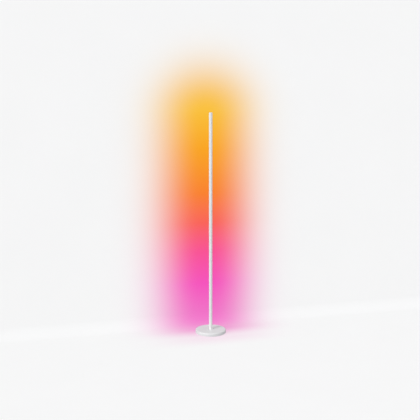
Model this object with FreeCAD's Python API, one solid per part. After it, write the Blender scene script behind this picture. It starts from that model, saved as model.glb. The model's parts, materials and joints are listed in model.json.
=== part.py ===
import FreeCAD, Part

import math
import os

from FreeCAD import Vector

# Corner floor lamp: a slim round aluminium column on a weighted disc base.
# The column's rear faces the corner of the room and holds a light strip behind a snap-in diffuser.
# Millimetres. The origin is on the floor under the column's axis, +Z is up, -Y is the front that
# faces the room, and +Y is the lit rear.

# ---------------------------------------------------------------- driving dimensions

total_height = 1450.0

# column: one extruded profile
column_diameter = 22.0
column_wall = 1.4
slot_width = 14.4
web_thickness = 1.5
seat_offset = 1.0
seat_rail_height = 0.8
seat_rail_width = 0.8
port_bore = 3.5
port_wall = 1.3
port_mouth = 1.9
port_spread = 65.0

# diffuser: snaps into the column's slot
diffuser_thickness = 1.5
diffuser_leg = 1.15
snap_clearance = 0.15
barb_reach = 0.55
barb_lead_in = 1.1

# light strip
strip_width = 10.0
strip_thickness = 0.4
tape_thickness = 0.2
strip_side_clearance = 0.15
strip_top_gap = 12.0
led_size = 5.0
led_height = 1.5
led_pitch = 50.0 / 3.0
leds_per_chip = 3
chip_length = 4.9
chip_width = 3.9
chip_height = 1.3

# connector on the strip's lower end
clip_width = 11.4
clip_depth = 4.0
clip_length = 14.0
clip_grip = 4.0
clip_height = 24.0
clip_clearance = 0.1

# top cap
cap_thickness = 3.0
cap_edge_chamfer = 0.8
cap_peg_length = 9.0
cap_peg_clearance = 0.1

# base cover: a spun steel shell
base_diameter = 200.0
base_height = 22.0
cover_wall = 1.5
cover_edge_radius = 5.5
cover_outer_steps = 3
cover_inner_steps = 2
cover_floor_gap = 1.2
column_clearance = 0.2

# floor pad and bottom plate
pad_thickness = 1.4
pad_edge_inset = 3.7
pad_width = 14.0
plate_thickness = 1.8
plate_side_clearance = 0.8

# cast weight inside the base
weight_bend_gap = 0.5
socket_clearance = 0.1
socket_floor_thickness = 2.6
pocket_depth = 12.8
pocket_corner_radius = 6.0
pocket_front_gap = 8.0
pocket_side_gap = 4.0
pocket_rear_gap = 2.0
inlet_notch_width = 22.0
lead_channel_width = 8.0

# screws from beneath into the column's three ports
column_screw_length = 20.0
column_screw_head_flats = 6.0
column_screw_head_height = 3.0
head_room = 0.8
thread_clearance = 0.05

# threaded studs under the cover, and the screws that clamp plate and weight up against it
fixing_angles = (-90.0, 30.0, 150.0)
fixing_pad_gap = 3.2
stud_flats = 6.0
stud_length = 12.5
stud_bore_depth = 9.0
stud_side_clearance = 0.3
plate_screw_diameter = 3.0
plate_screw_length = 12.0
plate_screw_head_diameter = 5.6
plate_screw_head_height = 1.5
plate_screw_socket = 2.0
plate_screw_socket_depth = 1.0

# control board, hung under the pocket's two ledges with its parts facing down
board_width = 66.0
board_length = 46.0
board_thickness = 1.6
board_tongue_width = 19.0
board_tongue_setback = 3.0
board_inlet_gap = 2.0
board_ledge_height = 1.0
board_ledge_width = 7.0
board_hole_inset = 4.0
board_screw_diameter = 2.5
board_screw_length = 4.6
board_screw_head_flats = 4.5
board_screw_head_height = 1.8

# parts on the board: size across, along and down, and the middle's place. A place says what its
# X is measured from (the board's left edge -1, its centre line 0 or its right edge 1), and gives
# that X and the distance behind the board's front edge
microcontroller_size = (7.0, 7.0, 1.0)
microcontroller_place = (0, -6.0, 20.0)
regulator_size = (5.0, 6.2, 1.6)
regulator_place = (0, -4.0, 36.0)
inductor_size = (12.0, 12.0, 6.0)
inductor_place = (-1, 15.0, 36.0)
inductor_corner = 2.2
capacitor_foot_size = (8.3, 8.3, 0.9)
capacitor_diameter = 8.0
capacitor_can_height = 6.8
capacitor_place = (1, -19.0, 38.0)
transistor_size = (6.5, 6.1, 2.3)
transistor_places = ((-1, 7.0, 10.0), (-1, 7.0, 18.5), (-1, 7.0, 27.0))
radio_size = (18.0, 24.0, 0.9)
radio_place = (1, -17.0, 21.0)
radio_lid_size = (15.4, 17.0, 2.4)
radio_lid_wall = 0.2
radio_antenna_length = 5.5

# power inlet at the rear of the base
inlet_width = 9.0
inlet_height = 9.2
inlet_length = 14.0
inlet_face_gap = 0.5
inlet_nose_diameter = 8.0
inlet_nose_recess = 0.4
inlet_nose_clearance = 0.2
inlet_bore = 6.3
inlet_bore_depth = 10.0
inlet_pin_diameter = 2.1
inlet_pin_setback = 1.3
inlet_pin_root_diameter = 3.2
inlet_pin_root_length = 3.0
contact_width = 2.2
contact_thickness = 0.3
contact_clearance = 0.15
contact_foot_length = 2.6
contact_rise_length = 2.6
contact_reach = 0.35
inlet_front_wall = 0.6

# flat lead of three cores from the base to the strip
lead_cores = 3
lead_core_pitch = 1.8
lead_thickness = 1.4
lead_bend_radius = 6.0
lead_height_above_socket = 1.9
lead_plug_width = 7.6
lead_plug_length = 9.0
header_wall = 0.8
header_depth = 7.0
header_plug_clearance = 0.1
grommet_length = 4.0
grommet_height = 4.4
grommet_socket_gap = 1.0
grommet_clearance = 0.3

# ---------------------------------------------------------------- values worked out from them

column_radius = column_diameter / 2
bore_radius = column_radius - column_wall
slot_half = slot_width / 2
port_radius = port_bore / 2 + port_wall
port_pitch_radius = column_radius - column_wall / 2 - port_radius
port_angles = [-90 - port_spread, -90.0, -90 + port_spread]

base_radius = base_diameter / 2
cover_inner_radius = base_radius - cover_wall
cover_underside = base_height - cover_wall
plate_radius = cover_inner_radius - plate_side_clearance
plate_bottom = pad_thickness
plate_top = plate_bottom + plate_thickness
pad_outer_radius = plate_radius - pad_edge_inset
pad_inner_radius = pad_outer_radius - pad_width
fixing_radius = pad_inner_radius - fixing_pad_gap - plate_screw_head_diameter / 2
weight_bottom = plate_top
weight_top = cover_underside
cover_bend_radius = base_radius - cover_edge_radius
weight_radius = cover_bend_radius - weight_bend_gap
column_screw_seat = weight_bottom + column_screw_head_height + head_room
socket_floor = column_screw_seat + socket_floor_thickness
column_bottom = socket_floor
column_top = total_height - cap_thickness
socket_radius = column_radius + socket_clearance

pocket_roof = weight_bottom + pocket_depth
board_top = pocket_roof - board_ledge_height
board_bottom = board_top - board_thickness
inlet_axis_height = board_bottom - inlet_height / 2
inlet_face = cover_inner_radius - inlet_face_gap
inlet_back = inlet_face - inlet_length
inlet_nose_face = base_radius - inlet_nose_recess
inlet_bore_end = inlet_nose_face - inlet_bore_depth
contact_slot_front = inlet_face - inlet_front_wall
board_half = board_width / 2
board_rear = inlet_back - board_inlet_gap
board_front = board_rear - board_length
board_tongue_rear = inlet_face - board_tongue_setback
pocket_half = board_half + pocket_side_gap
pocket_front = board_front - pocket_front_gap
pocket_rear = board_rear + pocket_rear_gap

tape_face = seat_offset + tape_thickness
strip_face = tape_face + strip_thickness
strip_bottom = clip_height + clip_length - clip_grip
strip_top = column_top - strip_top_gap
lead_depth = seat_offset + clip_depth / 2
lead_height = socket_floor + lead_height_above_socket
lead_half = ((lead_cores - 1) * lead_core_pitch + lead_thickness) / 2
header_back = board_front + header_depth
diffuser_bottom = lead_height + lead_bend_radius - lead_thickness / 2

# ---------------------------------------------------------------- helpers


def on_circle(radius, degrees):
    angle = math.radians(degrees)
    return radius * math.cos(angle), radius * math.sin(angle)


def chord_height(radius, x):
    """How far a circle of this radius lies from the X axis at x."""
    return math.sqrt(radius * radius - x * x)


def disc(radius, x=0.0, y=0.0):
    return Part.Face(Part.Wire(Part.makeCircle(radius, Vector(x, y, 0))))


def rectangle(x0, y0, x1, y1):
    return Part.makePlane(x1 - x0, y1 - y0, Vector(x0, y0, 0))


def polygon(points):
    corners = [Vector(*point) for point in points]
    return Part.Face(Part.makePolygon(corners + corners[:1]))


def upright_edges(solid):
    return [edge for edge in solid.Edges
            if edge.BoundBox.ZLength > edge.BoundBox.XLength + edge.BoundBox.YLength]


def prism(face, z0, z1):
    lifted = face.copy()
    lifted.translate(Vector(0, 0, z0))
    return lifted.extrude(Vector(0, 0, z1 - z0))


def box(x0, y0, z0, x1, y1, z1):
    return Part.makeBox(x1 - x0, y1 - y0, z1 - z0, Vector(x0, y0, z0))


def upright_cylinder(radius, z0, z1, x=0.0, y=0.0):
    return Part.makeCylinder(radius, z1 - z0, Vector(x, y, z0))


def rearward_cylinder(radius, y0, y1, z):
    return Part.makeCylinder(radius, y1 - y0, Vector(0, y0, z), Vector(0, 1, 0))


def joined(shapes):
    first, rest = shapes[0], list(shapes[1:])
    return first.fuse(rest).removeSplitter() if rest else first


def turned(edges):
    """Spins a closed outline in the XZ plane once round the Z axis."""
    return Part.Face(Part.Wire(edges)).revolve(Vector(0, 0, 0), Vector(0, 0, 1), 360)


def line(x0, z0, x1, z1):
    return Part.makeLine(Vector(x0, 0, z0), Vector(x1, 0, z1))


def quarter_steps(x, z, radius, steps):
    """Points on a quarter circle in the XZ plane, from its side up to its top, for equal steps."""
    points = [on_circle(radius, 90.0 * step / steps) for step in range(steps + 1)]
    return [(x + px, z + pz) for px, pz in points]


def outline_lines(points):
    return [line(*start, *end) for start, end in zip(points, points[1:])]


def hexagon_corner(across_flats):
    return across_flats / math.sqrt(3)


def hexagon_prism(across_flats, z0, z1, x, y):
    corners = [on_circle(hexagon_corner(across_flats), 60 * side) for side in range(6)]
    return prism(polygon([(x + cx, y + cy, 0) for cx, cy in corners]), z0, z1)


def hexagon_screw(x, y, across_flats, head_height, radius, seat, length):
    """A hexagonal head below its seat, and a plain shank above it."""
    head = hexagon_prism(across_flats, seat - head_height, seat, x, y)
    return joined([head, upright_cylinder(radius, seat, seat + length, x, y)])


# ---------------------------------------------------------------- column


def port_places():
    return [on_circle(port_pitch_radius, angle) for angle in port_angles]


def port_mouth_cut(x, y):
    """The gap in a screw port's wall, which opens towards the middle of the front chamber."""
    middle = Vector(0, (seat_offset - web_thickness - bore_radius) / 2, 0)
    port = Vector(x, y, 0)
    along = (middle - port).normalize()
    across = Vector(-along.y, along.x, 0) * (port_mouth / 2)
    far = port + along * (port_radius + port_mouth / 2)
    return polygon([tuple(v) for v in (port - across, far - across, far + across, port + across)])


def column_extrusion():
    """One profile: round wall, rear slot, railed seat for the strip, and three screw ports."""
    wall_middle = disc(column_radius - column_wall / 2)
    ring = disc(column_radius).cut(disc(bore_radius))
    ring = ring.cut(rectangle(-slot_half, 0, slot_half, column_diameter))
    web = rectangle(-column_radius, seat_offset - web_thickness, column_radius, seat_offset)
    walls = [ring, web.common(wall_middle)]
    rail_inner = strip_width / 2 + strip_side_clearance
    for side in (-1, 1):
        x0, x1 = sorted((side * rail_inner, side * (rail_inner + seat_rail_width)))
        walls.append(rectangle(x0, seat_offset, x1, seat_offset + seat_rail_height))
    walls += [disc(port_radius, x, y).common(wall_middle) for x, y in port_places()]
    gaps = [disc(port_bore / 2, x, y) for x, y in port_places()]
    gaps += [port_mouth_cut(x, y) for x, y in port_places()]
    solid = joined([prism(wall, column_bottom, column_top) for wall in walls])
    return solid.cut([prism(gap, column_bottom, column_top) for gap in gaps])


def diffuser():
    """An arc that completes the column's circle, on two legs whose barbs catch behind the slot."""
    leg_outer = slot_half - snap_clearance
    leg_inner = leg_outer - diffuser_leg
    barb_tip = slot_half + barb_reach
    lip = chord_height(bore_radius, slot_half) - snap_clearance
    barb_height = chord_height(bore_radius - snap_clearance, barb_tip)
    foot = barb_height - barb_lead_in
    shell = disc(column_radius).cut(disc(column_radius - diffuser_thickness))
    walls = [shell.common(rectangle(-leg_outer, 0, leg_outer, column_diameter))]
    for side in (-1, 1):
        x0, x1 = sorted((side * leg_inner, side * leg_outer))
        leg = rectangle(x0, foot, x1, column_radius)
        walls.append(leg.common(disc(column_radius - diffuser_thickness / 2)))
        walls.append(polygon([(side * leg_inner, lip, 0), (side * leg_outer, lip, 0),
                              (side * barb_tip, barb_height, 0), (side * leg_outer, foot, 0),
                              (side * leg_inner, foot, 0)]))
    return joined([prism(wall, diffuser_bottom, column_top) for wall in walls])


def top_cap():
    """A moulded cap with a bevelled edge, held by three six-sided pegs in the column's ports."""
    crown = turned(outline_lines([
        (0, column_top), (column_radius, column_top),
        (column_radius, total_height - cap_edge_chamfer),
        (column_radius - cap_edge_chamfer, total_height), (0, total_height), (0, column_top)]))
    peg_flats = (port_bore / 2 - cap_peg_clearance) * math.sqrt(3)
    pegs = [hexagon_prism(peg_flats, column_top - cap_peg_length, column_top, x, y)
            for x, y in port_places()]
    return joined([crown] + pegs)


# ---------------------------------------------------------------- light strip


def on_seat(width, near, far, z0, z1):
    """A strip of this width that lies along the seat, between two distances behind the axis."""
    return box(-width / 2, near, z0, width / 2, far, z1)


def led_heights():
    room = strip_top - (clip_height + clip_length) - led_pitch
    count = int(room // led_pitch) + 1
    first = clip_height + clip_length + led_pitch / 2
    return [first + led_pitch * index for index in range(count)]


def led_packages():
    return Part.makeCompound([
        on_seat(led_size, strip_face, strip_face + led_height, z - led_size / 2, z + led_size / 2)
        for z in led_heights()])


def strip_driver_chips():
    middles = led_heights()[leds_per_chip // 2:-1:leds_per_chip]
    chips = []
    for z in middles:
        z0 = z + led_pitch / 2 - chip_width / 2
        chips.append(on_seat(chip_length, strip_face, strip_face + chip_height, z0, z0 + chip_width))
    return Part.makeCompound(chips)


def strip_connector():
    """A clip that grips the strip's lower end and passes the lead down."""
    body = on_seat(clip_width, seat_offset, seat_offset + clip_depth,
                   clip_height, clip_height + clip_length)
    rails = clip_width / 2 - (strip_width / 2 + strip_side_clearance)
    relief = seat_offset + seat_rail_height + clip_clearance
    for side in (-1, 1):
        edge = side * (clip_width / 2 - rails - clip_clearance)
        x0, x1 = sorted((edge, side * (clip_width / 2 + rails)))
        body = body.cut(box(x0, seat_offset, clip_height, x1, relief, clip_height + clip_length))
    grip = on_seat(strip_width, seat_offset, strip_face, strip_bottom, clip_height + clip_length)
    return body.cut(grip)


# ---------------------------------------------------------------- base


def base_cover():
    """A spun shell whose upper edge bends over in short steps, with a hole for column and inlet."""
    hole = column_radius + column_clearance
    shoulder = base_height - cover_edge_radius
    outer = quarter_steps(cover_bend_radius, shoulder, cover_edge_radius, cover_outer_steps)
    inner = quarter_steps(cover_bend_radius, shoulder, cover_edge_radius - cover_wall,
                          cover_inner_steps)
    foot = [(cover_inner_radius, cover_floor_gap), (base_radius, cover_floor_gap)]
    shell = turned(outline_lines(foot + outer + [(hole, base_height), (hole, cover_underside)]
                                 + inner[::-1] + foot[:1]))
    nose_hole = inlet_nose_diameter / 2 + inlet_nose_clearance
    return shell.cut(rearward_cylinder(nose_hole, 0, base_diameter, inlet_axis_height))


def fixing_places():
    return [on_circle(fixing_radius, angle) for angle in fixing_angles]


def board_screw_places():
    """Two opposite corners of the control board."""
    side = board_half - board_hole_inset
    return [(-side, board_front + board_hole_inset), (side, board_rear - board_hole_inset)]


def electronics_pocket():
    """The hollow under the weight, with two ledges for the board and a notch for the inlet."""
    pocket = box(-pocket_half, pocket_front, weight_bottom, pocket_half, pocket_rear, pocket_roof)
    pocket = pocket.makeFillet(pocket_corner_radius, upright_edges(pocket))
    for side in (-1, 1):
        x0, x1 = sorted((side * (board_half - board_ledge_width), side * pocket_half))
        pocket = pocket.cut(box(x0, pocket_front, board_top, x1, pocket_rear, pocket_roof))
    half = inlet_notch_width / 2
    notch = box(-half, pocket_rear - pocket_corner_radius, weight_bottom,
                half, base_radius, pocket_roof)
    return pocket.fuse(notch)


def base_weight():
    """A cast disc with the column's socket, the pocket, and holes for screws and studs."""
    head_recess = port_pitch_radius + hexagon_corner(column_screw_head_flats) + head_room / 2
    channel_half = lead_channel_width / 2
    channel_end = pocket_front + pocket_corner_radius
    cuts = [electronics_pocket(),
            upright_cylinder(socket_radius, socket_floor, base_height),
            upright_cylinder(head_recess, weight_bottom, column_screw_seat),
            box(-channel_half, 0, socket_floor, channel_half, channel_end, base_height)]
    for x, y in port_places():
        cuts.append(upright_cylinder(port_bore / 2 + thread_clearance,
                                     column_screw_seat, socket_floor, x, y))
    for x, y in fixing_places():
        cuts.append(hexagon_prism(stud_flats + 2 * stud_side_clearance,
                                  weight_bottom, weight_top, x, y))
    for x, y in board_screw_places():
        cuts.append(upright_cylinder(board_screw_diameter / 2 + thread_clearance, board_top,
                                     board_bottom + board_screw_length + thread_clearance, x, y))
    return upright_cylinder(weight_radius, weight_bottom, weight_top).cut(cuts)


def floor_pad():
    """A ring of soft foam that the lamp stands on."""
    return prism(disc(pad_outer_radius).cut(disc(pad_inner_radius)), 0, pad_thickness)


def bottom_plate():
    """A moulded disc whose three screw holes taper through its whole thickness."""
    holes = [plate_screw_cone(x, y, plate_thickness, thread_clearance) for x, y in fixing_places()]
    return upright_cylinder(plate_radius, plate_bottom, plate_top).cut(holes)


# ---------------------------------------------------------------- fasteners


def column_screws():
    """Three screws that pull the column down into the weight's socket."""
    return Part.makeCompound([
        hexagon_screw(x, y, column_screw_head_flats, column_screw_head_height,
                      port_bore / 2 - thread_clearance, column_screw_seat, column_screw_length)
        for x, y in port_places()])


def cover_studs():
    """Six-sided studs welded under the cover's top, each with a threaded bore from below."""
    foot = cover_underside - stud_length
    studs = []
    for x, y in fixing_places():
        bore = upright_cylinder(plate_screw_diameter / 2 + thread_clearance,
                                foot, foot + stud_bore_depth, x, y)
        studs.append(hexagon_prism(stud_flats, foot, cover_underside, x, y).cut(bore))
    return Part.makeCompound(studs)


def plate_screw_cone(x, y, height, extra=0.0):
    """A countersunk head's cone, or with its own height and some extra radius the hole for it."""
    wide = plate_screw_head_diameter / 2 + extra
    narrow = plate_screw_diameter / 2 + extra
    return Part.makeCone(wide, narrow, height, Vector(x, y, plate_bottom))


def bottom_plate_screws():
    """Three long countersunk screws, through the plate and the weight into the cover's studs."""
    shank_bottom = plate_bottom + plate_screw_head_height
    screws = []
    for x, y in fixing_places():
        shank = upright_cylinder(plate_screw_diameter / 2, shank_bottom,
                                 plate_bottom + plate_screw_length, x, y)
        socket = hexagon_prism(plate_screw_socket, plate_bottom,
                               plate_bottom + plate_screw_socket_depth, x, y)
        head = plate_screw_cone(x, y, plate_screw_head_height)
        screws.append(joined([head, shank]).cut(socket))
    return Part.makeCompound(screws)


# ---------------------------------------------------------------- electronics


def control_board():
    """A plate with a tongue under the inlet, and a hole for each of its screws."""
    tongue_half = board_tongue_width / 2
    plate = box(-board_half, board_front, board_bottom, board_half, board_rear, board_top)
    tongue = box(-tongue_half, board_rear, board_bottom, tongue_half, board_tongue_rear, board_top)
    hole = board_screw_diameter / 2 + thread_clearance
    return joined([plate, tongue]).cut([upright_cylinder(hole, board_bottom, board_top, x, y)
                                        for x, y in board_screw_places()])


def board_screws():
    return Part.makeCompound([
        hexagon_screw(x, y, board_screw_head_flats, board_screw_head_height,
                      board_screw_diameter / 2, board_bottom, board_screw_length)
        for x, y in board_screw_places()])


def on_board(place):
    """A place on the board, in the lamp's X and Y."""
    edge, across, behind_front = place
    return edge * board_half + across, board_front + behind_front


def hung_box(size, place, below=0.0):
    """A chip or block that hangs under the board, or this far below it."""
    width, length, height = size
    x, y = on_board(place)
    top = board_bottom - below
    return box(x - width / 2, y - length / 2, top - height, x + width / 2, y + length / 2, top)


def power_inductor():
    """A shielded coil whose four corners are cut off."""
    block = hung_box(inductor_size, inductor_place)
    return block.makeChamfer(inductor_corner, upright_edges(block))


def capacitor():
    """A round can on a square foot."""
    foot = hung_box(capacitor_foot_size, capacitor_place)
    top = board_bottom - capacitor_foot_size[2]
    can = upright_cylinder(capacitor_diameter / 2, top - capacitor_can_height, top,
                           *on_board(capacitor_place))
    return joined([foot, can])


def power_transistors():
    return Part.makeCompound([hung_box(transistor_size, place) for place in transistor_places])


def radio_shield():
    """The folded metal lid over the radio module's parts, clear of its antenna."""
    width, length, height = radio_lid_size
    slack = (radio_size[1] - radio_antenna_length - length) / 2
    shift = radio_size[1] / 2 - length / 2 - slack
    edge, across, behind_front = radio_place
    place = (edge, across, behind_front + shift)
    outer = hung_box(radio_lid_size, place, radio_size[2])
    hollow = (width - 2 * radio_lid_wall, length - 2 * radio_lid_wall, height - radio_lid_wall)
    return outer.cut(hung_box(hollow, place, radio_size[2]))


# ---------------------------------------------------------------- power inlet


def inlet_housing():
    """A moulded socket: a block on the board with a round nose in the cover's hole."""
    half = inlet_width / 2
    block = box(-half, inlet_back, board_bottom - inlet_height, half, inlet_face, board_bottom)
    nose = rearward_cylinder(inlet_nose_diameter / 2, inlet_face - inlet_face_gap,
                             inlet_nose_face, inlet_axis_height)
    body = joined([block, nose])
    bore = rearward_cylinder(inlet_bore / 2, inlet_bore_end, inlet_nose_face, inlet_axis_height)
    root = rearward_cylinder(inlet_pin_root_diameter / 2, inlet_bore_end - inlet_pin_root_length,
                             inlet_bore_end, inlet_axis_height)
    slot_half_width = contact_width / 2 + contact_clearance
    slot = box(-slot_half_width, inlet_bore_end, board_bottom - inlet_height,
               slot_half_width, contact_slot_front, inlet_axis_height)
    return body.cut([bore, root, slot])


def inlet_contact():
    """The bent leaf spring that presses on a plug's sleeve."""
    foot = board_bottom - inlet_height
    back = inlet_bore_end + contact_clearance
    front = contact_slot_front - contact_clearance
    ridge = inlet_axis_height - inlet_bore / 2 + contact_reach
    bend = back + contact_foot_length
    lower = [(back, foot), (bend, foot), (bend + contact_rise_length, ridge - contact_thickness),
             (front, foot + contact_thickness)]
    upper = [(y, z + contact_thickness) for y, z in reversed(lower)]
    outline = [(-contact_width / 2, y, z) for y, z in lower + upper]
    return polygon(outline).extrude(Vector(contact_width, 0, 0))


def inlet_pin():
    """The centre pin that a plug slides over, with a thicker root in the block's back wall."""
    pin = rearward_cylinder(inlet_pin_diameter / 2, inlet_bore_end,
                            inlet_nose_face - inlet_pin_setback, inlet_axis_height)
    collar = rearward_cylinder(inlet_pin_root_diameter / 2, inlet_bore_end - inlet_pin_root_length,
                               inlet_bore_end, inlet_axis_height)
    return joined([pin, collar])


# ---------------------------------------------------------------- lead inside the lamp


def output_header():
    """The board's socket for the lead's plug, open to the front."""
    half = lead_plug_width / 2 + header_plug_clearance + header_wall
    plug_height = board_bottom - lead_height
    low = lead_height - plug_height + header_wall
    block = box(-half, board_front, low - header_wall, half, header_back + header_wall, board_bottom)
    inner_half = lead_plug_width / 2 + header_plug_clearance
    cavity = box(-inner_half, board_front, low, inner_half, header_back, board_bottom - header_wall)
    return block.cut(cavity)


def output_plug():
    half_height = board_bottom - header_wall - header_plug_clearance - lead_height
    back = header_back - header_plug_clearance
    return box(-lead_plug_width / 2, back - lead_plug_length, lead_height - half_height,
               lead_plug_width / 2, back, lead_height + half_height)


def column_lead():
    """From the plug through the channel, round a bend, and up behind the column's web to the clip."""
    plug_front = header_back - header_plug_clearance - lead_plug_length
    half_height = lead_thickness / 2
    bend_y = lead_depth + lead_bend_radius
    bend_z = lead_height + lead_bend_radius
    run = box(-lead_half, bend_y, lead_height - half_height,
              lead_half, plug_front, lead_height + half_height)
    section = polygon([(-lead_half, bend_y, lead_height - half_height),
                       (lead_half, bend_y, lead_height - half_height),
                       (lead_half, bend_y, lead_height + half_height),
                       (-lead_half, bend_y, lead_height + half_height)])
    bend = section.revolve(Vector(0, bend_y, bend_z), Vector(-1, 0, 0), 90)
    riser = box(-lead_half, lead_depth - half_height, bend_z,
                lead_half, lead_depth + half_height, clip_height)
    return joined([run, bend, riser])


def lead_grommet():
    """The rubber block that keeps the lead off the casting's edge."""
    half = lead_channel_width / 2
    front = socket_radius + grommet_socket_gap
    block = box(-half, front, socket_floor, half, front + grommet_length,
                socket_floor + grommet_height)
    slot_half_width = lead_half + grommet_clearance
    slot_half_height = lead_thickness / 2 + grommet_clearance
    return block.cut(box(-slot_half_width, front, lead_height - slot_half_height,
                         slot_half_width, front + grommet_length, lead_height + slot_half_height))


# ---------------------------------------------------------------- every node


def all_parts():
    return {
        "column_extrusion": column_extrusion(),
        "diffuser": diffuser(),
        "top_cap": top_cap(),
        "led_thermal_tape": on_seat(strip_width, seat_offset, tape_face, strip_bottom, strip_top),
        "led_strip_board": on_seat(strip_width, tape_face, strip_face, strip_bottom, strip_top),
        "led_packages": led_packages(),
        "strip_driver_chips": strip_driver_chips(),
        "strip_connector": strip_connector(),
        "column_lead": column_lead(),
        "lead_grommet": lead_grommet(),
        "base_cover": base_cover(),
        "base_weight": base_weight(),
        "bottom_plate": bottom_plate(),
        "floor_pad": floor_pad(),
        "column_screws": column_screws(),
        "cover_studs": cover_studs(),
        "bottom_plate_screws": bottom_plate_screws(),
        "control_board": control_board(),
        "board_screws": board_screws(),
        "microcontroller": hung_box(microcontroller_size, microcontroller_place),
        "regulator_chip": hung_box(regulator_size, regulator_place),
        "power_inductor": power_inductor(),
        "capacitor": capacitor(),
        "power_transistors": power_transistors(),
        "radio_module": hung_box(radio_size, radio_place),
        "radio_shield": radio_shield(),
        "inlet_housing": inlet_housing(),
        "inlet_pin": inlet_pin(),
        "inlet_contact": inlet_contact(),
        "output_header": output_header(),
        "output_plug": output_plug(),
    }


def main():
    os.makedirs("parts", exist_ok=True)
    for name, shape in all_parts().items():
        shape.exportStep("parts/" + name + ".step")
        print(name, "solids", len(shape.Solids), "volume", round(shape.Volume, 2))


main()
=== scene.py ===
"""The corner floor lamp's looks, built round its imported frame.

Metres, apart from the sizes of the finer pieces, which are in millimetres. The origin is on the
floor under the column, +Z is up, -Y is the front that faces the room, and +Y is the lit rear.
"""
import json
import math

import bmesh
import bpy
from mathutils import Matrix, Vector
from mathutils.geometry import delaunay_2d_cdt


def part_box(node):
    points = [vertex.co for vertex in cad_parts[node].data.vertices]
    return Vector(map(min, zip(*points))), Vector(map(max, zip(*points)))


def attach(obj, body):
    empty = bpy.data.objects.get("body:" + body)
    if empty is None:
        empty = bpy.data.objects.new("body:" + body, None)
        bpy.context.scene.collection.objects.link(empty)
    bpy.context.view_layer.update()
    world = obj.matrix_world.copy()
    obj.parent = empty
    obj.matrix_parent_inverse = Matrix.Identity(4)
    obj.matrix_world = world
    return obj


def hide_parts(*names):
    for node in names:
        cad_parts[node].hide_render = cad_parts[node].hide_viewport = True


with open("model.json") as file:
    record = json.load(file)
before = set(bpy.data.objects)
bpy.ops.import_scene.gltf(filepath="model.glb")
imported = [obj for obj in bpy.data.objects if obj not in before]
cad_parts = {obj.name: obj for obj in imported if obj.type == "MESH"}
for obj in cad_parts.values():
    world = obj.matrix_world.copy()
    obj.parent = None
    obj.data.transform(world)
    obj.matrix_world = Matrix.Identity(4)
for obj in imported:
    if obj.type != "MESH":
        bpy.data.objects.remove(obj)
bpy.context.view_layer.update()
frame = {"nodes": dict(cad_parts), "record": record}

NODES = frame["nodes"]
SLOTS = {entry["node"]: entry["material_slot"] for entry in frame["record"]["subparts"]}
MM = 0.001

column_low, column_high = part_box("column_extrusion")
cover_low, cover_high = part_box("base_cover")
diffuser_low, diffuser_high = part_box("diffuser")
pin_low, pin_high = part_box("inlet_pin")
LAMP_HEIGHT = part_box("top_cap")[1].z

# the light strip repeats in segments, each with the same number of LEDs
SEGMENT_LENGTH = 0.05
LEDS_IN_SEGMENT = 3
LED_PITCH = SEGMENT_LENGTH / LEDS_IN_SEGMENT

# half the width of the column's slot, in millimetres: the diffuser fills it
SLOT_HALF = 7.2


# ---------------------------------------------------------------- colours


def linear(*channels):
    """A colour given as 0..255 screen values, as the linear values that shaders take."""
    values = [channel / 255 for channel in channels]
    return [v / 12.92 if v <= 0.04045 else ((v + 0.055) / 1.055) ** 2.4 for v in values] + [1.0]


WHITE = linear(238, 238, 237)
PALE = linear(250, 250, 250)

# the lamp's light by height above the floor, in metres
LIGHT_STOPS = [
    (0.02, linear(243, 125, 205)),
    (0.28, linear(249, 86, 192)),
    (0.50, linear(253, 84, 152)),
    (0.70, linear(254, 102, 90)),
    (0.90, linear(254, 132, 48)),
    (1.20, linear(254, 168, 34)),
    (1.45, linear(254, 195, 58)),
]


# ---------------------------------------------------------------- shader building


# nearly all values of a noise texture lie between these two
NOISE_RANGE = (0.3, 0.7)


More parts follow.
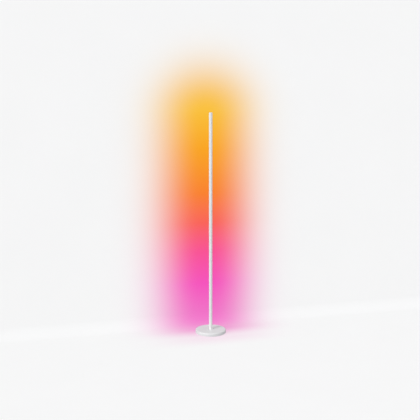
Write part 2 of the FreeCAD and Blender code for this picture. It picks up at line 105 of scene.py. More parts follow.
class Shader:
    """One node material, and short calls for the nodes that the materials share."""

    def __init__(self, name, **uniform):
        self.material = bpy.data.materials.new(name)
        self.material.use_nodes = True
        self.tree = self.material.node_tree
        self.tree.nodes.clear()
        self.surface = self.add("ShaderNodeBsdfPrincipled")
        self.output = self.add("ShaderNodeOutputMaterial")
        self.link(self.surface.outputs[0], self.output.inputs["Surface"])
        self.place = self.add("ShaderNodeTexCoord").outputs["Object"]
        for socket, value in uniform.items():
            self.surface.inputs[socket.replace("_", " ")].default_value = value

    def add(self, kind, **settings):
        node = self.tree.nodes.new(kind)
        for key, value in settings.items():
            setattr(node, key, value)
        return node

    def link(self, output, socket):
        self.tree.links.new(output, socket)

    def split(self):
        """The place on the object as its X, Y and Z, in metres."""
        node = self.add("ShaderNodeSeparateXYZ")
        self.link(self.place, node.inputs[0])
        return [node.outputs[axis] for axis in "XYZ"]

    def stretched(self, scale):
        """The place on the object, scaled differently along X, Y and Z."""
        mapping = self.add("ShaderNodeMapping")
        mapping.inputs["Scale"].default_value = scale
        self.link(self.place, mapping.inputs["Vector"])
        return mapping.outputs[0]

    def noise(self, scale, detail=2.0, roughness=0.5, place=None):
        node = self.add("ShaderNodeTexNoise")
        node.inputs["Scale"].default_value = scale
        node.inputs["Detail"].default_value = detail
        node.inputs["Roughness"].default_value = roughness
        self.link(place or self.place, node.inputs["Vector"])
        return node.outputs["Fac"]

    def cells(self, scale):
        """The distance to the nearest of many scattered points."""
        node = self.add("ShaderNodeTexVoronoi", feature="F1")
        node.inputs["Scale"].default_value = scale
        self.link(self.place, node.inputs["Vector"])
        return node.outputs["Distance"]

    def ramp(self, value, stops, interpolation="LINEAR"):
        """Colours or plain greys by a value from 0 to 1."""
        node = self.add("ShaderNodeValToRGB")
        node.color_ramp.interpolation = interpolation
        points = node.color_ramp.elements
        while len(points) < len(stops):
            points.new(0.5)
        for point, (position, colour) in zip(points, stops):
            point.position = position
            point.color = colour if isinstance(colour, (list, tuple)) else (colour,) * 3 + (1,)
        self.link(value, node.inputs[0])
        return node.outputs[0]

    def scaled(self, value, old, new=(0.0, 1.0)):
        """A value moved in proportion from its old range to a new one, and kept inside that."""
        node = self.add("ShaderNodeMapRange")
        for socket, number in zip(("From Min", "From Max", "To Min", "To Max"), (*old, *new)):
            node.inputs[socket].default_value = number
        self.link(value, node.inputs["Value"])
        return node.outputs[0]

    def maths(self, operation, first, second=None):
        node = self.add("ShaderNodeMath", operation=operation)
        for socket, value in zip(node.inputs, (first, second)):
            if isinstance(value, (int, float)):
                socket.default_value = value
            elif value is not None:
                self.link(value, socket)
        return node.outputs[0]

    def mixed(self, factor, first, second):
        """A colour between two others."""
        node = self.add("ShaderNodeMix", data_type="RGBA")
        self.link(factor, node.inputs["Factor"])
        colours = [socket for socket in node.inputs if socket.type == "RGBA"]
        self.link(first, colours[0])
        self.link(second, colours[1])
        return [socket for socket in node.outputs if socket.type == "RGBA"][0]

    def blended(self, factor, first, second):
        """A surface between two others."""
        node = self.add("ShaderNodeMixShader")
        for socket, output in zip(node.inputs, (factor, first, second)):
            self.link(output, socket)
        return node.outputs[0]

    def bump(self, value, distance, strength=1.0, under=None):
        """A normal that leans with a height, on top of another bump where one is given."""
        node = self.add("ShaderNodeBump")
        node.inputs["Strength"].default_value = strength
        node.inputs["Distance"].default_value = distance
        self.link(value, node.inputs["Height"])
        if under is not None:
            self.link(under, node.inputs["Normal"])
        return node.outputs[0]

    def shade(self, colour, roughness=None, normal=None):
        """The material, once what varies over its surface is linked."""
        for socket, value in (("Base Color", colour), ("Roughness", roughness), ("Normal", normal)):
            if value is not None:
                self.link(value, self.surface.inputs[socket])
        return self.material


def two_tone(shader, colour, spread, scale):
    """A colour that wanders a little to either side of the one given."""
    dark = [channel * (1 - spread) for channel in colour[:3]] + [1]
    light = [min(1.0, channel * (1 + spread)) for channel in colour[:3]] + [1]
    return shader.ramp(shader.noise(scale, detail=3.0), list(zip(NOISE_RANGE, (dark, light))))


def uneven(shader, noise, roughness, spread):
    """A roughness that wanders with a noise to either side of the one given."""
    return shader.scaled(noise, NOISE_RANGE, (roughness - spread, roughness + spread))


def lamp_light(shader, height, whitening=0.0):
    """The lamp's colour by height above the floor, moved towards white by a share."""
    stops = []
    for stop_height, colour in LIGHT_STOPS:
        whiter = [(1 - whitening) * channel + whitening for channel in colour[:3]]
        stops.append((stop_height / LAMP_HEIGHT, whiter + [1]))
    return shader.ramp(shader.scaled(height, (0.0, LAMP_HEIGHT)), stops)


# ---------------------------------------------------------------- materials


def powder_coat(name, colour, peel):
    """Satin white powder coat: a fine orange peel, and a faint cloudiness in its colour."""
    shader = Shader(name, Coat_Weight=0.12, Coat_Roughness=0.22)
    waves = shader.noise(scale=240.0, detail=1.0)
    wavy = shader.bump(waves, distance=0.12 * MM * peel, strength=0.35)
    grains = shader.noise(scale=1100.0)
    normal = shader.bump(grains, distance=0.06 * MM * peel, strength=0.5, under=wavy)
    rough = uneven(shader, shader.noise(scale=60.0, detail=4.0), roughness=0.40, spread=0.04)
    return shader.shade(two_tone(shader, colour, spread=0.012, scale=14.0), rough, normal)


def moulded_plastic(name, colour, roughness, grain=2200.0, depth=0.03 * MM, spread=0.03):
    """Plastic with the fine spark-eroded texture of its mould."""
    shader = Shader(name)
    texture = shader.noise(grain, detail=3.0, roughness=0.6)
    rough = uneven(shader, shader.noise(scale=90.0, detail=3.0), roughness, spread=0.05)
    normal = shader.bump(texture, depth, strength=0.7)
    return shader.shade(two_tone(shader, colour, spread, scale=55.0), rough, normal)


def metal(name, colour, roughness, stretch=(1, 1, 1)):
    """Bare or plated metal with fine tool marks."""
    shader = Shader(name, Metallic=1.0)
    marks = shader.noise(scale=900.0, detail=3.0, roughness=0.6, place=shader.stretched(stretch))
    rough = uneven(shader, marks, roughness, spread=0.08)
    normal = shader.bump(marks, distance=0.02 * MM, strength=0.5)
    return shader.shade(two_tone(shader, colour, spread=0.05, scale=120.0), rough, normal)


def opal_diffuser():
    """Opal plastic lit from within: whitest along its middle, with soft spots over the LEDs."""
    shader = Shader("opal_plastic", Roughness=0.42, Emission_Strength=0.80)
    x, _, z = shader.split()
    edge = lamp_light(shader, z)
    middle = lamp_light(shader, z, whitening=0.22)
    beat = shader.maths("SINE", shader.maths("MULTIPLY", z, 2 * math.pi / LED_PITCH))
    spots = shader.scaled(beat, (-1.0, 1.0), (0.72, 1.0))
    inwards = shader.scaled(shader.maths("ABSOLUTE", x), (0.0, SLOT_HALF * MM), (1.0, 0.0))
    share = shader.maths("MULTIPLY", shader.maths("SQRT", inwards), spots)
    shader.link(shader.mixed(share, edge, middle), shader.surface.inputs["Emission Color"])
    body = two_tone(shader, linear(128, 127, 124), spread=0.01, scale=30.0)
    normal = shader.bump(shader.noise(scale=700.0), distance=0.03 * MM, strength=0.4)
    return shader.shade(body, normal=normal)


def cast_iron():
    """Sand-cast iron under dark paint: fine grains of sand over soft lumps."""
    shader = Shader("painted_cast_iron", Roughness=0.6)
    lumpy = shader.bump(shader.noise(scale=110.0), distance=0.4 * MM, strength=0.5)
    sand = shader.noise(scale=700.0, detail=4.0, roughness=0.65)
    normal = shader.bump(sand, distance=0.18 * MM, strength=0.7, under=lumpy)
    paint = two_tone(shader, linear(58, 58, 60), spread=0.15, scale=45.0)
    return shader.shade(paint, normal=normal)


def foam():
    """Closed-cell foam: many small pores in a dark skin."""
    shader = Shader("closed_cell_foam", Roughness=0.92)
    pores = shader.scaled(shader.cells(scale=1600.0), (0.0, 0.5))
    normal = shader.bump(pores, distance=0.2 * MM, strength=0.8)
    skin = shader.ramp(pores, [(0.1, linear(18, 18, 19)), (0.8, linear(52, 52, 54))])
    return shader.shade(skin, normal=normal)


def circuit_board(name, mask, traces):
    """Solder mask over copper: lighter tracks where copper runs beneath it."""
    shader = Shader(name, Roughness=0.35, Coat_Weight=0.3, Coat_Roughness=0.15)
    tracks = shader.add("ShaderNodeTexBrick", offset=0.5, squash=1.0)
    for socket, value in (("Scale", 160.0), ("Mortar Size", 0.03), ("Mortar", traces),
                          ("Color1", mask), ("Color2", mask)):
        tracks.inputs[socket].default_value = value
    shader.link(shader.place, tracks.inputs["Vector"])
    normal = shader.bump(tracks.outputs["Fac"], distance=0.04 * MM)
    return shader.shade(tracks.outputs["Color"], normal=normal)


def wire_insulation(name, colour):
    """Soft insulation, with faint marks drawn along the lead."""
    shader = Shader(name, Roughness=0.5)
    drawn = shader.noise(scale=500.0, place=shader.stretched((1, 1, 0.1)))
    normal = shader.bump(drawn, distance=0.02 * MM, strength=0.5)
    return shader.shade(two_tone(shader, colour, spread=0.02, scale=80.0), normal=normal)


# by slot in the record
materials = {
    "column_paint": powder_coat("column_powder_coat", WHITE, peel=0.4),
    "cover_paint": powder_coat("cover_powder_coat", linear(236, 236, 235), peel=1.15),
    "cap_plastic": moulded_plastic("cap_white_plastic", WHITE, roughness=0.42, spread=0.01),
    "opal_diffuser": opal_diffuser(),
    "thermal_tape": moulded_plastic("grey_thermal_tape", linear(150, 150, 148), roughness=0.7),
    "strip_board": circuit_board("white_strip_board", mask=linear(238, 238, 234),
                                 traces=linear(225, 222, 214)),
    "led_package": moulded_plastic("led_white_package", linear(238, 234, 214), roughness=0.3,
                                   spread=0.02),
    "chip_black": moulded_plastic("black_moulding_compound", linear(30, 30, 32), roughness=0.55),
    "white_nylon": moulded_plastic("natural_nylon", linear(232, 228, 216), roughness=0.45),
    "lead_insulation": wire_insulation("white_insulation", linear(228, 228, 228)),
    "black_rubber": moulded_plastic("soft_black_rubber", linear(34, 34, 35), roughness=0.75),
    "cast_weight": cast_iron(),
    "black_plastic": moulded_plastic("black_spark_plastic", linear(38, 38, 40), roughness=0.55,
                                     grain=1500.0, depth=0.06 * MM),
    "foam_pad": foam(),
    "zinc_steel": metal("zinc_plated_steel", linear(205, 207, 210), roughness=0.32),
    "black_steel": metal("black_oxide_steel", linear(52, 52, 54), roughness=0.38),
    "circuit_board": circuit_board("green_circuit_board", mask=linear(20, 88, 48),
                                   traces=linear(38, 120, 66)),
    "radio_board": circuit_board("blue_circuit_board", mask=linear(22, 34, 72),
                                 traces=linear(38, 56, 104)),
    "ferrite": moulded_plastic("pressed_ferrite", linear(62, 62, 64), roughness=0.65,
                               grain=1200.0, depth=0.08 * MM),
    "bare_aluminium": metal("drawn_aluminium", linear(222, 222, 224), roughness=0.28,
                            stretch=(1, 1, 0.05)),
    "tinned_lid": metal("tinned_steel_sheet", linear(214, 213, 208), roughness=0.25),
    "plated_pin": metal("nickel_plated_pin", linear(216, 212, 204), roughness=0.16),
    "spring_brass": metal("nickel_washed_brass", linear(214, 198, 150), roughness=0.25),
}


def dress(mesh, slot):
    """Gives a mesh the material of a slot in the record, and no other."""
    mesh.materials.clear()
    mesh.materials.append(materials[slot])


for node_name, slot_name in SLOTS.items():
    dress(NODES[node_name].data, slot_name)


# ---------------------------------------------------------------- mesh building, in millimetres


CREASE_ANGLE = 35.0        # degrees
WELD_DISTANCE = 1e-4
SLIVER_LENGTH = 1e-3
ROUND_STEPS = 96

# what delaunay_2d_cdt() is told: points this near are one, and only areas inside outlines count
SAME_POINT = 1e-6
INSIDE_ONLY = 1


def softened(mesh):
    """Smooth shading, but edges that turn more than the crease angle stay sharp."""
    mesh.shade_smooth()
    mesh.set_sharp_from_angle(angle=math.radians(CREASE_ANGLE))
    return mesh


def reworked(mesh, change):
    """The mesh after change() has edited it."""
    build = bmesh.new()
    build.from_mesh(mesh)
    change(build)
    build.to_mesh(mesh)
    build.free()
    return softened(mesh)


def weld(build):
    """Joins the points at one place, and drops those that no face uses."""
    bmesh.ops.remove_doubles(build, verts=build.verts, dist=WELD_DISTANCE * MM)
    loose = [point for point in build.verts if not point.link_faces]
    bmesh.ops.delete(build, geom=loose, context="VERTS")


def drop_slivers(build):
    """Takes out the faces without an area that a boolean leaves."""
    bmesh.ops.dissolve_degenerate(build, edges=build.edges, dist=SLIVER_LENGTH * MM)


def mesh_of(name, points, faces):
    """A mesh from points in millimetres, with its equal points joined."""
    mesh = bpy.data.meshes.new(name)
    mesh.from_pydata([[value * MM for value in point] for point in points], [], faces)
    return reworked(mesh, weld)


def arc(middle, radius, first, turn, steps):
    """Points along a circle from the angle first and over the angle turn, with both ends."""
    angles = [first + turn * step / steps for step in range(steps + 1)]
    return [(middle[0] + radius * math.cos(angle), middle[1] + radius * math.sin(angle))
            for angle in angles]


def circle(radius, steps=ROUND_STEPS, middle=(0.0, 0.0)):
    return arc(middle, radius, 0.0, 2 * math.pi, steps)[:-1]


def rectangle(x0, y0, x1, y1):
    return [(x0, y0), (x1, y0), (x1, y1), (x0, y1)]


def mirrored(outline, side):
    """The outline, or for side -1 its mirror image across X = 0, still anticlockwise."""
    return outline if side > 0 else [(-x, y) for x, y in reversed(outline)]


def rounded(corners):
    """A closed outline of sharp corners (across, up) and round ones (across, up, radius, steps)."""
    outline = []
    places = [Vector(corner[:2]) for corner in corners]
    for index, (across, up, *bend) in enumerate(corners):
        if not bend:
            outline.append((across, up))
            continue
        radius, steps = bend
        here = places[index]
        back = (places[index - 1] - here).normalized()
        ahead = (places[(index + 1) % len(places)] - here).normalized()
        half = back.angle(ahead) / 2
        middle = here + (back + ahead).normalized() * (radius / math.sin(half))
        start = here + back * (radius / math.tan(half)) - middle
        end = here + ahead * (radius / math.tan(half)) - middle
        first = math.atan2(start.y, start.x)
        turn = math.remainder(math.atan2(end.y, end.x) - first, 2 * math.pi)
        outline += arc(middle, radius, first, turn, steps)
    return outline


def places_round(radius, angles):
    """Places on a circle round the lamp's axis, at angles in degrees."""
    turns = [math.radians(angle) for angle in angles]
    return [(radius * math.cos(turn), radius * math.sin(turn)) for turn in turns]


def upright(x=0.0, y=0.0):
    """How turned() places a shape whose axis stands at this spot."""
    return lambda across, along, up: (x + across, y + along, up)


def turned(name, outline, steps, place=upright()):
    """Spins a closed outline of (radius, height), anticlockwise, once round an axis."""
    points, faces = [], []
    count = len(outline)
    for step in range(steps):
        angle = 2 * math.pi * step / steps
        points += [place(r * math.cos(angle), r * math.sin(angle), z) for r, z in outline]
        here, there = step * count, (step + 1) % steps * count
        for low in range(count):
            high = (low + 1) % count
            faces.append((here + low, there + low, there + high, here + high))
    return mesh_of(name, points, faces)


def extruded(name, shapes, keep, low, high):
    """A prism of those regions, among overlapping labelled outlines, that keep() chooses."""
    points, rings = [], []
    for _, outline in shapes:
        rings.append(range(len(points), len(points) + len(outline)))
        points += [Vector(point) for point in outline]
    flat, _, triangles, _, _, sources = delaunay_2d_cdt(points, [], rings, INSIDE_ONLY, SAME_POINT)
    kept = [tuple(triangle) for triangle, source in zip(triangles, sources)
            if keep({shapes[index][0] for index in source})]
    sides = {(a, b) for triangle in kept for a, b in zip(triangle, triangle[1:] + triangle[:1])}
    count = len(flat)
    faces = [triangle[::-1] for triangle in kept]
    faces += [tuple(corner + count for corner in triangle) for triangle in kept]
    faces += [(a, b, b + count, a + count) for a, b in sides if (b, a) not in sides]
    return mesh_of(name, [(x, y, z) for z in (low, high) for x, y in flat], faces)


def added(name, data):
    """A new object in the scene."""
    thing = bpy.data.objects.new(name, data)
    bpy.context.scene.collection.objects.link(thing)
    return thing


def combined(mesh, others, operation):
    """The mesh after other meshes are joined to it or cut from it."""
    body = added("body", mesh)
    tools = [added("tool", other) for other in others]
    for tool in tools:
        change = body.modifiers.new("change", "BOOLEAN")
        change.operation = operation
        change.solver = "EXACT"
        change.object = tool
    graph = bpy.context.evaluated_depsgraph_get()
    result = bpy.data.meshes.new_from_object(body.evaluated_get(graph))
    for thing in [body] + tools:
        bpy.data.objects.remove(thing)
    return reworked(result, drop_slivers)


def stand_in(name, mesh, node):
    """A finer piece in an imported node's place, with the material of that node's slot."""
    piece = added(name, mesh)
    slot = SLOTS[node]
    dress(mesh, slot)
    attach(piece, "root")
    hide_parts(node)


# ---------------------------------------------------------------- column, in millimetres


# in this part and those that follow, a size that ends in ROUND is the radius of a rounded edge
COLUMN_RADIUS = column_high.x / MM
COLUMN_LOW = column_low.z / MM
COLUMN_TOP = column_high.z / MM
COLUMN_WALL = 1.4
BORE_RADIUS = COLUMN_RADIUS - COLUMN_WALL
MID_WALL_RADIUS = COLUMN_RADIUS - COLUMN_WALL / 2
PAST_COLUMN = 2 * COLUMN_RADIUS

# the web across the column: the light strip lies on its rear face, the seat, between two rails
SEAT = 1.0
WEB_THICKNESS = 1.5
RAIL_INNER, RAIL_OUTER, RAIL_TOP = 5.15, 5.95, 1.8

# the C-shaped screw ports, which also take the cap's pegs
PORT_RADIUS = 3.05
PORT_BORE_RADIUS = 1.75
PORT_MOUTH_HALF = 0.95
PORT_ANGLES = (-155.0, -90.0, -25.0)
PORTS = [Vector(place) for place in places_round(MID_WALL_RADIUS - PORT_RADIUS, PORT_ANGLES)]
CHAMBER_MIDDLE = Vector((0, (SEAT - WEB_THICKNESS - BORE_RADIUS) / 2))


def port_mouth(port):
    """The gap in a port's wall, towards the middle of the front chamber."""
    along = (CHAMBER_MIDDLE - port).normalized()
    across = Vector((-along.y, along.x)) * PORT_MOUTH_HALF
    far = port + along * (PORT_RADIUS + PORT_MOUTH_HALF)
    return [tuple(point) for point in (port - across, far - across, far + across, port + across)]


def column_profile(labels):
    """Whether a region inside these outlines is part of the column."""
    if labels & {"port bore", "port mouth"}:
        return False
    wall = "outside" in labels and not labels & {"bore", "slot"}
    held = "middle" in labels and labels & {"web", "port"}
    return bool(wall or held or "rail" in labels)


def fine_column():
    """The extrusion: a wall open at the rear, and a web with two rails and three screw ports."""
    shapes = [
        ("outside", circle(COLUMN_RADIUS)),
        ("bore", circle(BORE_RADIUS)),
        ("middle", circle(MID_WALL_RADIUS)),
        ("slot", rectangle(-SLOT_HALF, 0, SLOT_HALF, PAST_COLUMN)),
        ("web", rectangle(-COLUMN_RADIUS, SEAT - WEB_THICKNESS, COLUMN_RADIUS, SEAT)),
    ]
    rail = rectangle(RAIL_INNER, SEAT, RAIL_OUTER, RAIL_TOP)
    shapes += [("rail", mirrored(rail, side)) for side in (-1, 1)]
    for port in PORTS:
        shapes.append(("port", circle(PORT_RADIUS, steps=40, middle=port)))
        shapes.append(("port bore", circle(PORT_BORE_RADIUS, steps=32, middle=port)))
        shapes.append(("port mouth", port_mouth(port)))
    mesh = extruded("column_profile", shapes, column_profile, COLUMN_LOW, COLUMN_TOP)
    stand_in("column_profile", mesh, "column_extrusion")


# ---------------------------------------------------------------- diffuser, in millimetres


DIFFUSER_THICKNESS = 1.5
LEG_INNER, LEG_OUTER = 5.9, 7.05
BARB_TIP = 7.75
BARB_RISE = 1.1
SNAP_CLEARANCE = 0.15
LIP = math.sqrt(BORE_RADIUS ** 2 - SLOT_HALF ** 2) - SNAP_CLEARANCE
BARB_HEIGHT = math.sqrt((BORE_RADIUS - SNAP_CLEARANCE) ** 2 - BARB_TIP ** 2)
LEG_FOOT = BARB_HEIGHT - BARB_RISE


def diffuser_profile(labels):
    """Whether a region inside these outlines is part of the diffuser."""
    bow = {"outside", "window"} <= labels and "inside" not in labels
    return bool(bow or {"leg", "middle"} <= labels or "barb" in labels)


def fine_diffuser():
    """A bow that completes the column's circle, on two legs with barbs behind the slot's edges."""
    shapes = [
        ("outside", circle(COLUMN_RADIUS)),
        ("inside", circle(COLUMN_RADIUS - DIFFUSER_THICKNESS)),
        ("middle", circle(COLUMN_RADIUS - DIFFUSER_THICKNESS / 2)),
        ("window", rectangle(-LEG_OUTER, 0, LEG_OUTER, PAST_COLUMN)),
    ]
    leg = rectangle(LEG_INNER, LEG_FOOT, LEG_OUTER, COLUMN_RADIUS)
    barb = [(LEG_INNER, LEG_FOOT), (LEG_OUTER, LEG_FOOT), (BARB_TIP, BARB_HEIGHT),
            (LEG_OUTER, LIP), (LEG_INNER, LIP)]
    for side in (-1, 1):
        shapes += [("leg", mirrored(leg, side)), ("barb", mirrored(barb, side))]
    mesh = extruded("diffuser_profile", shapes, diffuser_profile,
                    diffuser_low.z / MM, diffuser_high.z / MM)
    stand_in("diffuser_profile", mesh, "diffuser")


# ---------------------------------------------------------------- light strip, in millimetres


LED_HALF = 2.5
LED_HEIGHT = 1.5
LED_CORNER_ROUND = 0.25
WINDOW_RADIUS = 2.1
WINDOW_TAPER = 0.2
WINDOW_DEPTH = 0.35


def fine_leds():
    """Moulded packages with soft corners, each with a round tapered window, along the strip."""
    low, high = (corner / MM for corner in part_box("led_packages"))
    square = rectangle(-LED_HALF, -LED_HALF, LED_HALF, LED_HALF)
    soft_square = rounded([(x, y, LED_CORNER_ROUND, 3) for x, y in square])
    body = extruded("package", [("body", soft_square)], keep=bool, low=0, high=LED_HEIGHT)
    bottom, past_top = LED_HEIGHT - WINDOW_DEPTH, LED_HEIGHT + WINDOW_DEPTH
    window = turned("window", [
        (0, bottom), (WINDOW_RADIUS - WINDOW_TAPER, bottom),
        (WINDOW_RADIUS + WINDOW_TAPER, past_top), (0, past_top)], steps=24)
    package = combined(body, [window], "DIFFERENCE")
    count = round((high.z - low.z - 2 * LED_HALF) * MM / LED_PITCH) + 1
    points, faces = [], []
    for index in range(count):
        middle = low.z + LED_HALF + index * LED_PITCH / MM
        start = len(points)
        points += [(v.co.x / MM, low.y + v.co.z / MM, middle - v.co.y / MM)
                   for v in package.vertices]
        faces += [[start + corner for corner in face.vertices] for face in package.polygons]
    stand_in("windowed_leds", mesh_of("windowed_leds", points, faces), "led_packages")


# ---------------------------------------------------------------- cap, in millimetres


CAP_SEAM_ROUND = 0.12
CAP_CROWN_ROUND = 0.9
PEG_CLEARANCE = 0.1
PEG_RADIUS = PORT_BORE_RADIUS - PEG_CLEARANCE
PEG_TIP_ROUND = 0.4
PEG_OVERLAP = 1.0


def fine_cap():
    """The moulded cap with a round edge, and its three pegs."""
    top = LAMP_HEIGHT / MM
    crown = turned("crown", rounded([
        (0, COLUMN_TOP), (COLUMN_RADIUS, COLUMN_TOP, CAP_SEAM_ROUND, 3),
        (COLUMN_RADIUS, top, CAP_CROWN_ROUND, 8), (0, top)]), ROUND_STEPS)
    peg_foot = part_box("top_cap")[0].z / MM
    peg_top = COLUMN_TOP + PEG_OVERLAP
    peg = rounded([(0, peg_foot), (PEG_RADIUS, peg_foot, PEG_TIP_ROUND, 3),
                   (PEG_RADIUS, peg_top), (0, peg_top)])
    pegs = [turned("peg", peg, steps=6, place=upright(*port)) for port in PORTS]
    stand_in("rounded_cap", combined(crown, pegs, "UNION"), "top_cap")


# ---------------------------------------------------------------- base, in millimetres


BASE_RADIUS = cover_high.x / MM
BASE_HEIGHT = cover_high.z / MM
COVER_FOOT = cover_low.z / MM
COVER_WALL = 1.5
RIM_ROUND = 5.5
HEM_INNER_ROUND, HEM_OUTER_ROUND = 0.35, 0.7
COLUMN_CLEARANCE = 0.2
COLUMN_HOLE = COLUMN_RADIUS + COLUMN_CLEARANCE
HOLE_TOP_ROUND, HOLE_UNDER_ROUND = 0.4, 0.2

# the inlet's hole, and how deep the bevel at its mouth is
INLET_HOLE = 4.2
INLET_HEIGHT = (pin_low.z + pin_high.z) / 2 / MM
INLET_BEVEL = 0.4

# how far the inlet's cutter reaches into the base, and how far any cutter goes on past an outside
INLET_CUT = 20.0
CUT_PAST = 0.9


def rearwards(x, y, z):
    """A shape turned round Z, laid down so that its axis runs to the rear through the inlet."""
    return x, z, INLET_HEIGHT - y


def fine_cover():
    """The spun shell with its round rim, a soft hem, and an eased edge at both holes."""
    inner, underside = BASE_RADIUS - COVER_WALL, BASE_HEIGHT - COVER_WALL
    shell = turned("shell", rounded([
        (inner, COVER_FOOT, HEM_INNER_ROUND, 3), (BASE_RADIUS, COVER_FOOT, HEM_OUTER_ROUND, 5),
        (BASE_RADIUS, BASE_HEIGHT, RIM_ROUND, 14), (COLUMN_HOLE, BASE_HEIGHT, HOLE_TOP_ROUND, 4),
        (COLUMN_HOLE, underside, HOLE_UNDER_ROUND, 2),
        (inner, underside, RIM_ROUND - COVER_WALL, 8)]), steps=192)
    cut_start, cut_end = BASE_RADIUS - INLET_CUT, BASE_RADIUS + CUT_PAST
    cutter = turned("cutter", [
        (0, cut_start), (INLET_HOLE, cut_start), (INLET_HOLE, BASE_RADIUS - INLET_BEVEL),
        (INLET_HOLE + INLET_BEVEL + CUT_PAST, cut_end), (0, cut_end)], steps=48, place=rearwards)
    stand_in("spun_cover", combined(shell, [cutter], "DIFFERENCE"), "base_cover")


PAD_WIDTH = 14.0
PAD_FOOT_ROUND, PAD_TOP_ROUND = 0.45, 0.1
DISC_STEPS = 144


def fine_pad():
    """The foam ring, with its lower edges pressed round."""
    low, high = (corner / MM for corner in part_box("floor_pad"))
    inner = high.x - PAD_WIDTH
    ring = turned("ring", rounded([
        (inner, low.z, PAD_FOOT_ROUND, 4), (high.x, low.z, PAD_FOOT_ROUND, 4),
        (high.x, high.z, PAD_TOP_ROUND, 1), (inner, high.z, PAD_TOP_ROUND, 1)]), DISC_STEPS)
    stand_in("foam_ring", ring, "floor_pad")


PLATE_FOOT_ROUND, PLATE_TOP_ROUND = 0.6, 0.2
GROOVE_RADII = (16.0, 30.0, 44.0, 58.0)
GROOVE_WIDTH = 1.6
GROOVE_DEPTH = 0.4
SCREW_CIRCLE = 74.0
SCREW_ANGLES = (-90.0, 30.0, 150.0)

# a screw's hole narrows from an eased mouth to a cone and on to the shank's radius; the mouth
# starts just below the plate's underside and the cone just above it
SINK_MOUTH, MOUTH_DROP = 3.05, 0.01
SINK_RADIUS, SINK_RISE = 2.85, 0.05
SHANK_HOLE = 1.55


def fine_plate():
    """The moulded plate, with shallow ring grooves beneath and three tapered screw holes."""
    low, high = (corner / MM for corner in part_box("bottom_plate"))
    grooves = []
    for radius in GROOVE_RADII:
        grooves += [(radius, low.z), (radius + GROOVE_DEPTH, low.z + GROOVE_DEPTH),
                    (radius + GROOVE_WIDTH - GROOVE_DEPTH, low.z + GROOVE_DEPTH),
                    (radius + GROOVE_WIDTH, low.z)]
    disc = turned("disc", rounded([(0, low.z)] + grooves + [
        (high.x, low.z, PLATE_FOOT_ROUND, 4), (high.x, high.z, PLATE_TOP_ROUND, 2),
        (0, high.z)]), DISC_STEPS)
    cone = [(0, low.z - CUT_PAST), (SINK_MOUTH, low.z - CUT_PAST),
            (SINK_MOUTH, low.z - MOUTH_DROP), (SINK_RADIUS, low.z + SINK_RISE),
            (SHANK_HOLE, high.z), (SHANK_HOLE, high.z + CUT_PAST), (0, high.z + CUT_PAST)]
    cones = [turned("cone", cone, steps=32, place=upright(*screw))
             for screw in places_round(SCREW_CIRCLE, SCREW_ANGLES)]
    stand_in("moulded_plate", combined(disc, cones, "DIFFERENCE"), "bottom_plate")


PIN_RADIUS = 1.05
PIN_TIP_ROUND = 0.8
PIN_ROOT_LENGTH = 3.0
PIN_FOOT_ROUND, PIN_SHOULDER_ROUND = 0.2, 0.1


def fine_pin():
    """The turned inlet pin, with a thicker root and a round tip."""
    root, tip = pin_low.y / MM, pin_high.y / MM
    root_radius = (pin_high.x - pin_low.x) / 2 / MM
    shoulder = root + PIN_ROOT_LENGTH
    shaft = turned("inlet_pin", rounded([
        (0, root), (root_radius, root, PIN_FOOT_ROUND, 2),
        (root_radius, shoulder, PIN_SHOULDER_ROUND, 1), (PIN_RADIUS, shoulder),
        (PIN_RADIUS, tip, PIN_TIP_ROUND, 6), (0, tip)]), steps=32, place=rearwards)
    stand_in("turned_pin", shaft, "inlet_pin")


fine_column()
fine_diffuser()
fine_leds()
fine_cap()
fine_cover()
fine_pad()
fine_plate()
fine_pin()


# ---------------------------------------------------------------- stage


SHEET_REACH = 14.0
WALL_DISTANCE = 0.20
SWEEP_RADIUS = 0.08
SWEEP_STEPS = 16

# the sheet's tone for light that goes on to the lamp, and the share of the painted glow in that
# light
SHEET_BOUNCE = linear(188, 188, 189)
GLOW_BOUNCE = 0.12

# how much of what the camera sees of the sheet has an even tone, without shadows
EVEN_SHARE = 0.8

# the glow painted on the wall as a pool of the lamp's light: its middle and half width, how far
# below the lamp's top it begins to narrow, and how suddenly it ends past its half width
GLOW_MIDDLE = 0.018
GLOW_HALF_WIDTH = 0.305
GLOW_TOP_DROP = 0.05
GLOW_EDGE = 1.35

# the glow painted on the floor: its share at each part of the way from the first depth to the
# second
GLOW_DEPTHS = (-0.30, 0.90)
GLOW_BY_DEPTH = [(0.0, 0.0), (0.167, 0.2), (0.333, 0.8), (0.417, 1.0), (0.43, 0.7), (0.50, 0.35),
                 (0.62, 0.1), (0.75, 0.0)]


def painted_glow_share(shader):
    """How much of the lamp's glow is painted into the sheet's colour, from 0 to 1.

    It fades to half at the half width beside the lamp or above its top. On the floor it fades in
    front of the lamp's foot and behind the wall.
    """
    x, y, z = shader.split()
    above = shader.maths("MAXIMUM", shader.maths("SUBTRACT", z, LAMP_HEIGHT - GLOW_TOP_DROP), 0.0)
    beside = shader.maths("SUBTRACT", x, GLOW_MIDDLE)
    squares = shader.maths("ADD", shader.maths("MULTIPLY", beside, beside),
                           shader.maths("MULTIPLY", above, above))
    squares = shader.maths("DIVIDE", squares, GLOW_HALF_WIDTH ** 2)
    share = shader.maths("POWER", 0.5, shader.maths("POWER", squares, GLOW_EDGE))
    by_depth = shader.ramp(shader.scaled(y, GLOW_DEPTHS), GLOW_BY_DEPTH, "EASE")
    return shader.maths("MULTIPLY", share, by_depth)


def seen_rays(shader, rays):
    """1 for what the camera sees directly, in a reflection or through something."""
    reflected = shader.maths("MAXIMUM", rays["Is Glossy Ray"], rays["Is Transmission Ray"])
    return shader.maths("MAXIMUM", rays["Is Camera Ray"], reflected)


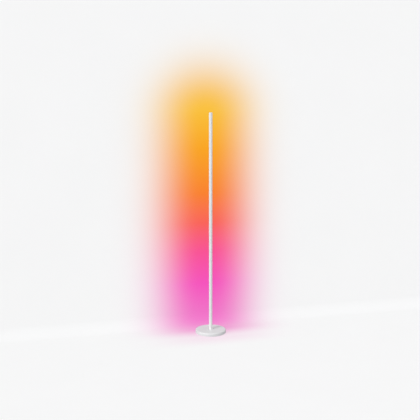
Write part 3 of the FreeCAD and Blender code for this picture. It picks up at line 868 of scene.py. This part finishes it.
def sheet_paper():
    """Pale paper with the lamp's glow painted on. It is clear from behind, for views from the rear.

    The lamp itself is lit by plainer and darker paper, so that its white paint keeps its colour.
    """
    shader = Shader("sheet_paper", Roughness=0.9, Specular_IOR_Level=0.1)
    rays = shader.add("ShaderNodeLightPath").outputs
    lighting, seen = (two_tone(shader, colour, spread=0.004, scale=3.0)
                      for colour in (SHEET_BOUNCE, PALE))
    paper = shader.mixed(rays["Is Camera Ray"], lighting, seen)
    # the lamp's glow is painted into the paper's colour by place on the sheet, not cast by a lamp
    share = shader.maths("MULTIPLY", painted_glow_share(shader),
                         shader.maths("MAXIMUM", rays["Is Camera Ray"], GLOW_BOUNCE))
    colour = shader.mixed(share, paper, lamp_light(shader, shader.split()[2]))
    shader.shade(colour)
    even = shader.add("ShaderNodeEmission")
    shader.link(colour, even.inputs["Color"])
    even_share = shader.maths("MULTIPLY", seen_rays(shader, rays), EVEN_SHARE)
    front = shader.blended(even_share, shader.surface.outputs[0], even.outputs[0])
    from_behind = shader.add("ShaderNodeNewGeometry").outputs["Backfacing"]
    clear = shader.add("ShaderNodeBsdfTransparent").outputs[0]
    shader.link(shader.blended(from_behind, front, clear), shader.output.inputs["Surface"])
    return shader.material


def studio_sheet():
    """A floor, and a wall behind the lamp that rises from it in a round sweep.

    The floor goes on behind the wall, so no strip joins its far edge to the sweep's foot.
    """
    sweep = arc((WALL_DISTANCE - SWEEP_RADIUS, SWEEP_RADIUS), SWEEP_RADIUS,
                -math.pi / 2, math.pi / 2, SWEEP_STEPS)
    floor = [(-SHEET_REACH, 0.0), (SHEET_REACH, 0.0)]
    outline = floor + sweep + [(WALL_DISTANCE, SHEET_REACH)]
    vertices = [(side * SHEET_REACH, y, z) for y, z in outline for side in (-1, 1)]
    strips = [0] + list(range(len(floor), len(outline) - 1))
    faces = [(2 * i, 2 * i + 1, 2 * i + 3, 2 * i + 2) for i in strips]
    mesh = bpy.data.meshes.new("studio_sheet")
    mesh.from_pydata(vertices, [], faces)
    mesh.shade_smooth()
    mesh.materials.append(sheet_paper())
    sheet = added("studio_sheet", mesh)


def soft_sun(name, source, strength, spread):
    """Light from the way that source points, as from a large soft box.

    It is far away, so the light is even along the column.
    """
    light = bpy.data.lights.new(name, "SUN")
    light.energy = strength
    light.angle = math.radians(spread)
    holder = added(name, light)
    holder.rotation_euler = (-Vector(source)).to_track_quat("-Z", "Y").to_euler()


def studio_lights():
    """A key light from the front left, and a weaker light from the rear for views from there."""
    soft_sun("key_light", source=(-0.90, -0.50, 0.70), strength=1.65, spread=30.0)
    soft_sun("rear_light", source=(0.25, 0.90, 0.60), strength=0.80, spread=40.0)


WORLD_TINT = (0.95, 0.97, 1.0, 1)
WORLD_STRENGTH = 0.74


def world_light():
    """Even light from all sides. The camera sees the sheet's pale tone instead."""
    world = bpy.data.worlds.new("studio_world")
    bpy.context.scene.world = world
    world.use_nodes = True
    tree = world.node_tree
    tree.nodes.clear()
    rays = tree.nodes.new("ShaderNodeLightPath")
    mix = tree.nodes.new("ShaderNodeMixShader")
    tree.links.new(rays.outputs["Is Camera Ray"], mix.inputs[0])
    for socket, colour, strength in ((1, WORLD_TINT, WORLD_STRENGTH), (2, PALE, 1.0)):
        background = tree.nodes.new("ShaderNodeBackground")
        background.inputs["Color"].default_value = colour
        background.inputs["Strength"].default_value = strength
        tree.links.new(background.outputs[0], mix.inputs[socket])
    output = tree.nodes.new("ShaderNodeOutputWorld")
    tree.links.new(mix.outputs[0], output.inputs["Surface"])


# the photograph's camera: metres, degrees, and millimetres for the lens and its sensor
CAMERA_PLACE = (-1.456347, -5.417835, 1.835)
CAMERA_HEADING = 15.0
CAMERA_PITCH = 10.23
CAMERA_LENS = 75.6
CAMERA_SENSOR = 36.0


def photo_camera():
    """The photograph's view: from the front left, a little from above."""
    heading = math.radians(CAMERA_HEADING)
    pitch = math.radians(CAMERA_PITCH)
    forward = Vector((math.sin(heading), math.cos(heading), 0))
    look = forward * math.cos(pitch) - Vector((0, 0, math.sin(pitch)))
    camera = added("photo_camera", bpy.data.cameras.new("photo_camera"))
    camera.data.lens = CAMERA_LENS
    camera.data.sensor_width = CAMERA_SENSOR
    camera.location = CAMERA_PLACE
    camera.rotation_euler = look.to_track_quat("-Z", "Y").to_euler()
    bpy.context.scene.camera = camera


studio_sheet()
studio_lights()
world_light()
photo_camera()
bpy.context.scene.view_settings.view_transform = "Standard"
